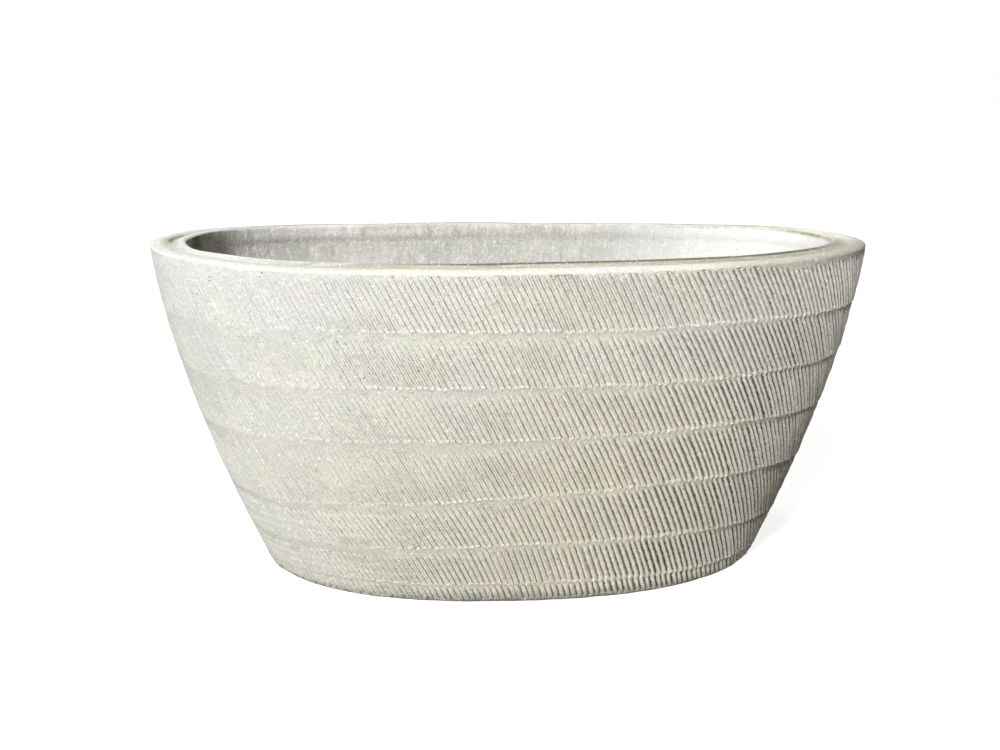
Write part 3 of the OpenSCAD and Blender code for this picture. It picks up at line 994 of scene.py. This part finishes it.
def comb_marks(shade, firm, cut):
    """How much shows at each place of the painted shade in the grooves, of the white ridges that
    the comb threw up, with a painted highlight along the lips, and of the dull strip at each
    band's head. Low on the left the ridges stand in short rows"""
    lines = shade.split(shade.add("UVMap", uv_map="comb_lines").outputs["UV"])
    wobble = shade.ramp(shade.noise(2.4, 3, 0.6), 0.3, 0.7, -0.07, 0.07)
    across = shade.maths("ADD", lines["X"], wobble)
    down = lines["Y"]
    ragged = shade.ramp(shade.noise(2.2, 2, 0.6), 0.3, 0.7, -0.012, 0.012)
    ragged = shade.maths("ADD", down, ragged)
    low_left = shade.zone(X=(10, -50), Z=(75, 55))
    groove_place = shade.maths("ADD", across, shade.times(firm, 0.14))
    from_groove = shade.maths("PINGPONG", groove_place, 0.5)
    lip_place = shade.maths("SUBTRACT", across, shade.line(firm, 0.1, 0.24))
    from_lip = shade.maths("PINGPONG", lip_place, 0.5)

    dots = shade.ramp(from_groove, 0.04, 0.14, 0.3, 1)
    dots = shade.times(dots, shade.ramp(shade.noise(3.5, 3, 0.7), 0.36, 0.56, 0.3, 1))
    toe = shade.times(shade.ramp(ragged, 0.952, 0.967), dots)
    toe = shade.times(toe, shade.line(shade.zone(X=(-140, -50)), 0.85, 0.15))
    rows = 0.0
    for place in TOE_ROWS:
        away = shade.maths("ABSOLUTE", shade.maths("SUBTRACT", ragged, place))
        rows = shade.most(rows, shade.ramp(away, 0.03, 0.07, 1, 0))
    spots = shade.times(shade.ramp(from_lip, 0.13, 0.24, 1, 0.1), dots)
    row_toes = shade.times(rows, low_left, spots)
    between = shade.times(shade.line(rows, -1, 1), low_left)

    groove = groove_marks(shade, from_groove, firm, cut, low_left)
    groove = shade.times(groove, shade.ramp(row_toes, 0, 0.5, 1, 0.3))
    lip = shade.times(lip_marks(shade, from_lip, firm, cut), shade.line(between, -0.5, 1))
    strip = shade.times(shade.ramp(down, 0, 0.17, 0.42, 0), shade.zone(X=(-130, 0)))
    strip = shade.times(strip, shade.line(firm, -0.6, 1))
    return groove, shade.most(lip, toe, row_toes), strip


def groove_marks(shade, from_groove, firm, cut, low_left):
    """Painted shade in the grooves, with the fainter lines of a second pass half-way between
    them
    """
    narrow, wide = shade.line(firm, 0.14, 0.045), shade.line(firm, 0.12, 0.11)
    whole = unbroken(shade, shade.noise(1.9, 3, 0.7), 0.5, firm)
    plain = shade.most(shade.line(low_left, 0.5, 0.45), shade.line(firm, 0.55, 0.45))
    groove = shade.times(shade.ramp(from_groove, narrow, wide, 1, 0), whole, cut, plain)
    twice = shade.noise(30, 2, 0.5, shade.stretch((0.7, 0.7, 1.6)))
    twice = shade.ramp(twice, 0.5, 0.56, 0, 0.45)
    twice = shade.times(twice, shade.ramp(firm, 0.2, 0.9, 1, 0))
    second = shade.times(shade.ramp(from_groove, 0.36, 0.46), whole, cut, twice)
    return shade.most(groove, second)


def lip_marks(shade, from_lip, firm, cut):
    """White lips along the grooves, on the side facing the lamps: pale cement thrown up by the
    comb and a painted highlight
    """
    narrow, wide = shade.line(firm, 0.1, 0.09), shade.line(firm, 0.08, 0.18)
    breaks = shade.noise(2.1, 3, 0.7, shade.stretch((1, 1, 0.7)))
    whole = unbroken(shade, breaks, 0.6, firm)
    return shade.times(shade.ramp(from_lip, narrow, wide, 1, 0), whole, cut)


def unbroken(shade, breaks, least, firm):
    """How whole a comb line is: broken up by noise, but less where the comb was firm"""
    return shade.most(shade.ramp(breaks, 0.36, 0.58, least, 1), shade.times(firm, 0.85))


def pit_marks(shade):
    """Round air holes, a few of every size up to a millimetre or so"""
    inputs = {"Vector": shade.place, "Scale": 1 / (PIT_SPACING * MM)}
    away = shade.add("TexVoronoi", inputs).outputs["Distance"]
    few = shade.ramp(shade.noise(9, 2), 0.58, 0.68)
    return shade.times(few, shade.ramp(away, 0.07, 0.14, 1, 0))


def rubber():
    """Matt black moulded rubber with a little dust on it"""
    shade = Shade(bpy.data.materials.new("plug_rubber"))
    dust = shade.ramp(shade.noise(6, 4, 0.7), 0.45, 0.8, 0, 0.35)
    shade.paint("Base Color", shade.mix(dust, RUBBER_BLACK, DUST_GREY))
    shade.paint("Roughness", shade.ramp(dust, 0, 0.35, 0.5, 0.8))
    shade.paint("Normal", shade.bump(shade.noise(0.5, 2), 0.04, 0.5))
    return shade.owner


def white_floor():
    """Plain white to the eye, a little darker in the bowl's shadow, and pale grey to
    the light that bounces off it"""
    shade = Shade(bpy.data.materials.new("white_floor"))
    rays = shade.add("LightPath").outputs
    seen = shade.most(rays["Is Camera Ray"], rays["Is Glossy Ray"])
    away = shade.add("VectorMath", {0: shade.place}, operation="LENGTH")
    glow = shade.ramp(away.outputs["Value"], GLOW_NEAR * MM, GLOW_FAR * MM, FLOOR_GLOW, 1)
    shade.paint("Base Color", FLOOR_GREY)
    shade.paint("Emission Color", WHITE)
    shade.paint("Emission Strength", shade.times(seen, glow))
    shade.paint("Roughness", 0.9)
    shade.paint("Specular IOR Level", 0.0)
    return shade.owner


# ---- plug

FLANGE_RADIUS = 17.0
FLANGE_THICKNESS = 3.0
# The flange's soft edge as (rise, narrowing), and the shallow dish in its top
FLANGE_EDGE = ((0.6, 0.3), (0.4, 0.9))
DISH_BORDER = 2.5
DISH_SLOPE = 1.0
DISH_DEPTH = 0.5
STEM_LENGTH = 15.0
RIB_RADIUS = 9.92
RIB_DEPTH = 1.2
RIB_HEIGHT = 2.5
RIB_COUNT = 3
# Share of a rib's height that slopes out, and the height of the step back over it
RIB_SLOPE = 0.6
RIB_STEP = 0.02
TAB_HEIGHT = 13.0
TAB_WIDTH = 14.0
TAB_THICKNESS = 4.5
# How deep the tab is rooted in the flange, and how its round top and edges are made
TAB_ROOT = 1.0
TAB_STEPS = 8
TAB_TOP_SHARE = 0.12
TAB_EDGE_RADIUS = 0.8
TAB_EDGE_ANGLE = 40
PLUG_COLUMNS = 64
PLUG_SMOOTH_ANGLE = 32


def raise_top(up, scale=1.0, across=None):
    """Pulls the selected faces up by a distance in millimetres and resizes them"""
    bpy.ops.mesh.extrude_region_move(TRANSFORM_OT_translate={"value": (0, 0, up * MM)})
    bpy.ops.transform.resize(value=(scale, across or scale, 1))


def make_plug_body():
    """Stem with its ribs and flange, pulled up ring by ring from a circle"""
    foot = FLOOR_HEIGHT - STEM_LENGTH
    stem = RIB_RADIUS - RIB_DEPTH
    bpy.ops.object.select_all(action="DESELECT")
    bpy.ops.mesh.primitive_circle_add(
        vertices=PLUG_COLUMNS, radius=stem * MM, fill_type="NGON", location=(0, 0, foot * MM)
    )
    body = bpy.context.object
    body.name = "plug_body"
    mode("EDIT")
    bpy.ops.mesh.select_all(action="SELECT")
    spacing = STEM_LENGTH / RIB_COUNT
    swell = RIB_RADIUS / stem
    for _ in range(RIB_COUNT):
        raise_top(RIB_HEIGHT * RIB_SLOPE, swell)
        raise_top(RIB_HEIGHT * (1 - RIB_SLOPE))
        raise_top(RIB_STEP, 1 / swell)
        raise_top(spacing - RIB_HEIGHT - RIB_STEP)
    raise_top(0.0, FLANGE_RADIUS / stem)
    raise_top(FLANGE_THICKNESS - sum(rise for rise, _ in FLANGE_EDGE))
    for rise, narrowing in FLANGE_EDGE:
        raise_top(rise, 1 - narrowing / FLANGE_RADIUS)
    bpy.ops.mesh.inset(thickness=DISH_BORDER * MM, depth=0)
    bpy.ops.mesh.inset(thickness=DISH_SLOPE * MM, depth=-DISH_DEPTH * MM)
    face_outwards()
    return body


def make_plug_tab():
    """Upright grip tab with a round top and soft edges"""
    straight = TAB_HEIGHT - TAB_WIDTH / 2
    base = FLOOR_HEIGHT + FLANGE_THICKNESS - TAB_ROOT
    bpy.ops.object.select_all(action="DESELECT")
    bpy.ops.mesh.primitive_cube_add(size=1, location=(0, 0, 0))
    tab = bpy.context.object
    tab.name = "plug_tab"
    tab.scale = (TAB_WIDTH * MM, TAB_THICKNESS * MM, (straight + TAB_ROOT) * MM)
    tab.location = (0, 0, (base + (straight + TAB_ROOT) / 2) * MM)
    bpy.ops.object.transform_apply()
    mode("EDIT")
    bpy.ops.mesh.select_all(action="DESELECT")
    mode("OBJECT")
    for face in tab.data.polygons:
        face.select = face.normal.z > 0.9
    mode("EDIT")
    for step in range(TAB_STEPS):
        angle = math.pi / 2 * step / TAB_STEPS
        following = math.pi / 2 * (step + 1) / TAB_STEPS
        rise = (math.sin(following) - math.sin(angle)) * TAB_WIDTH / 2
        width = max(math.cos(angle), TAB_TOP_SHARE)
        raise_top(rise, max(math.cos(following), TAB_TOP_SHARE) / width, 1)
    face_outwards()
    soften = tab.modifiers.new("soften", "BEVEL")
    soften.width = TAB_EDGE_RADIUS * MM
    soften.segments = 3
    soften.angle_limit = math.radians(TAB_EDGE_ANGLE)
    bpy.ops.object.modifier_apply(modifier="soften")
    return tab


def make_plug():
    """The plug's body and tab joined into one"""
    body = make_plug_body()
    tab = make_plug_tab()
    select_only(body)
    tab.select_set(True)
    union = body.modifiers.new("join_tab", "BOOLEAN")
    union.operation = "UNION"
    union.object = tab
    union.solver = "EXACT"
    bpy.ops.object.modifier_apply(modifier="join_tab")
    bpy.data.objects.remove(tab)
    select_only(body)
    bpy.ops.object.transform_apply()
    bpy.ops.object.shade_smooth_by_angle(angle=math.radians(PLUG_SMOOTH_ANGLE))
    body.name = "rubber_plug"
    return body


# ---- floor, light, camera

FLOOR_SIZE = 12000.0
# Each lamp's name, place, width and length, and power
LAMPS = (
    ("window", (-650, -1256, 1500), (350, 350), 56.0),
    ("far_window", (-985, 1174, 1376), (800, 800), 19.0),
)
LAMP_TARGET = (0, 0, 90)
WORLD_LIGHT = 0.05


def make_floor():
    bpy.ops.object.select_all(action="DESELECT")
    bpy.ops.mesh.primitive_plane_add(size=FLOOR_SIZE * MM, location=(0, 0, 0))
    floor = bpy.context.object
    floor.name = "floor"
    floor.data.materials.append(white_floor())


def soft_box(name, place, size, power):
    """A soft lamp that faces the bowl"""
    data = bpy.data.lights.new(name, "AREA")
    data.shape = "RECTANGLE"
    data.size, data.size_y = metres(size)
    data.energy = power
    lamp = bpy.data.objects.new(name, data)
    lamp.location = metres(place)
    direction = metres(LAMP_TARGET) - lamp.location
    lamp.rotation_euler = direction.to_track_quat("-Z", "Y").to_euler()
    bpy.context.scene.collection.objects.link(lamp)


def light_scene():
    """The lamps, and a world that is white to the eye and dim to the bowl"""
    world = bpy.data.worlds.new("studio")
    bpy.context.scene.world = world
    shade = Shade(world, "Background")
    rays = shade.add("LightPath").outputs
    seen = shade.most(rays["Is Camera Ray"], rays["Is Transmission Ray"])
    shade.paint("Strength", shade.ramp(seen, 0, 1, WORLD_LIGHT, 1))
    shade.paint("Color", WHITE)
    for lamp in LAMPS:
        soft_box(*lamp)


# The photographer's eye, in millimetres and radians: 44 cm from the bowl's middle
EYE = (-27.4, -443.8, 236.9)
EYE_DOWN = 0.29
EYE_RIGHT = 0.0455
EYE_ROLL = -0.002
LENS_PIXELS = 767.4
FRAME_PIXELS = 1000.0
SENSOR_WIDTH = 36.0
NEAREST_SEEN = 10.0


def make_camera():
    data = bpy.data.cameras.new("eye")
    data.sensor_width = SENSOR_WIDTH
    data.lens = LENS_PIXELS / FRAME_PIXELS * SENSOR_WIDTH
    data.clip_start = NEAREST_SEEN * MM
    camera = bpy.data.objects.new("eye", data)
    bpy.context.scene.collection.objects.link(camera)
    across = Matrix.Rotation(-EYE_RIGHT, 4, "Z")
    down = Matrix.Rotation(math.pi / 2 - EYE_DOWN, 4, "X")
    roll = Matrix.Rotation(EYE_ROLL, 4, "Z")
    camera.matrix_world = Matrix.Translation(metres(EYE)) @ (across @ down @ roll)
    bpy.context.scene.camera = camera


# ---- scene

make_camera()

bowl = make_bowl()
bowl.data.materials.append(concrete())
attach(bowl, "bowl")
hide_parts("bowl")

plug = make_plug()
plug.data.materials.clear()
plug.data.materials.append(rubber())
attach(plug, "plug")
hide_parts("drain_plug")

make_floor()
light_scene()
bpy.context.scene.view_settings.view_transform = "Standard"
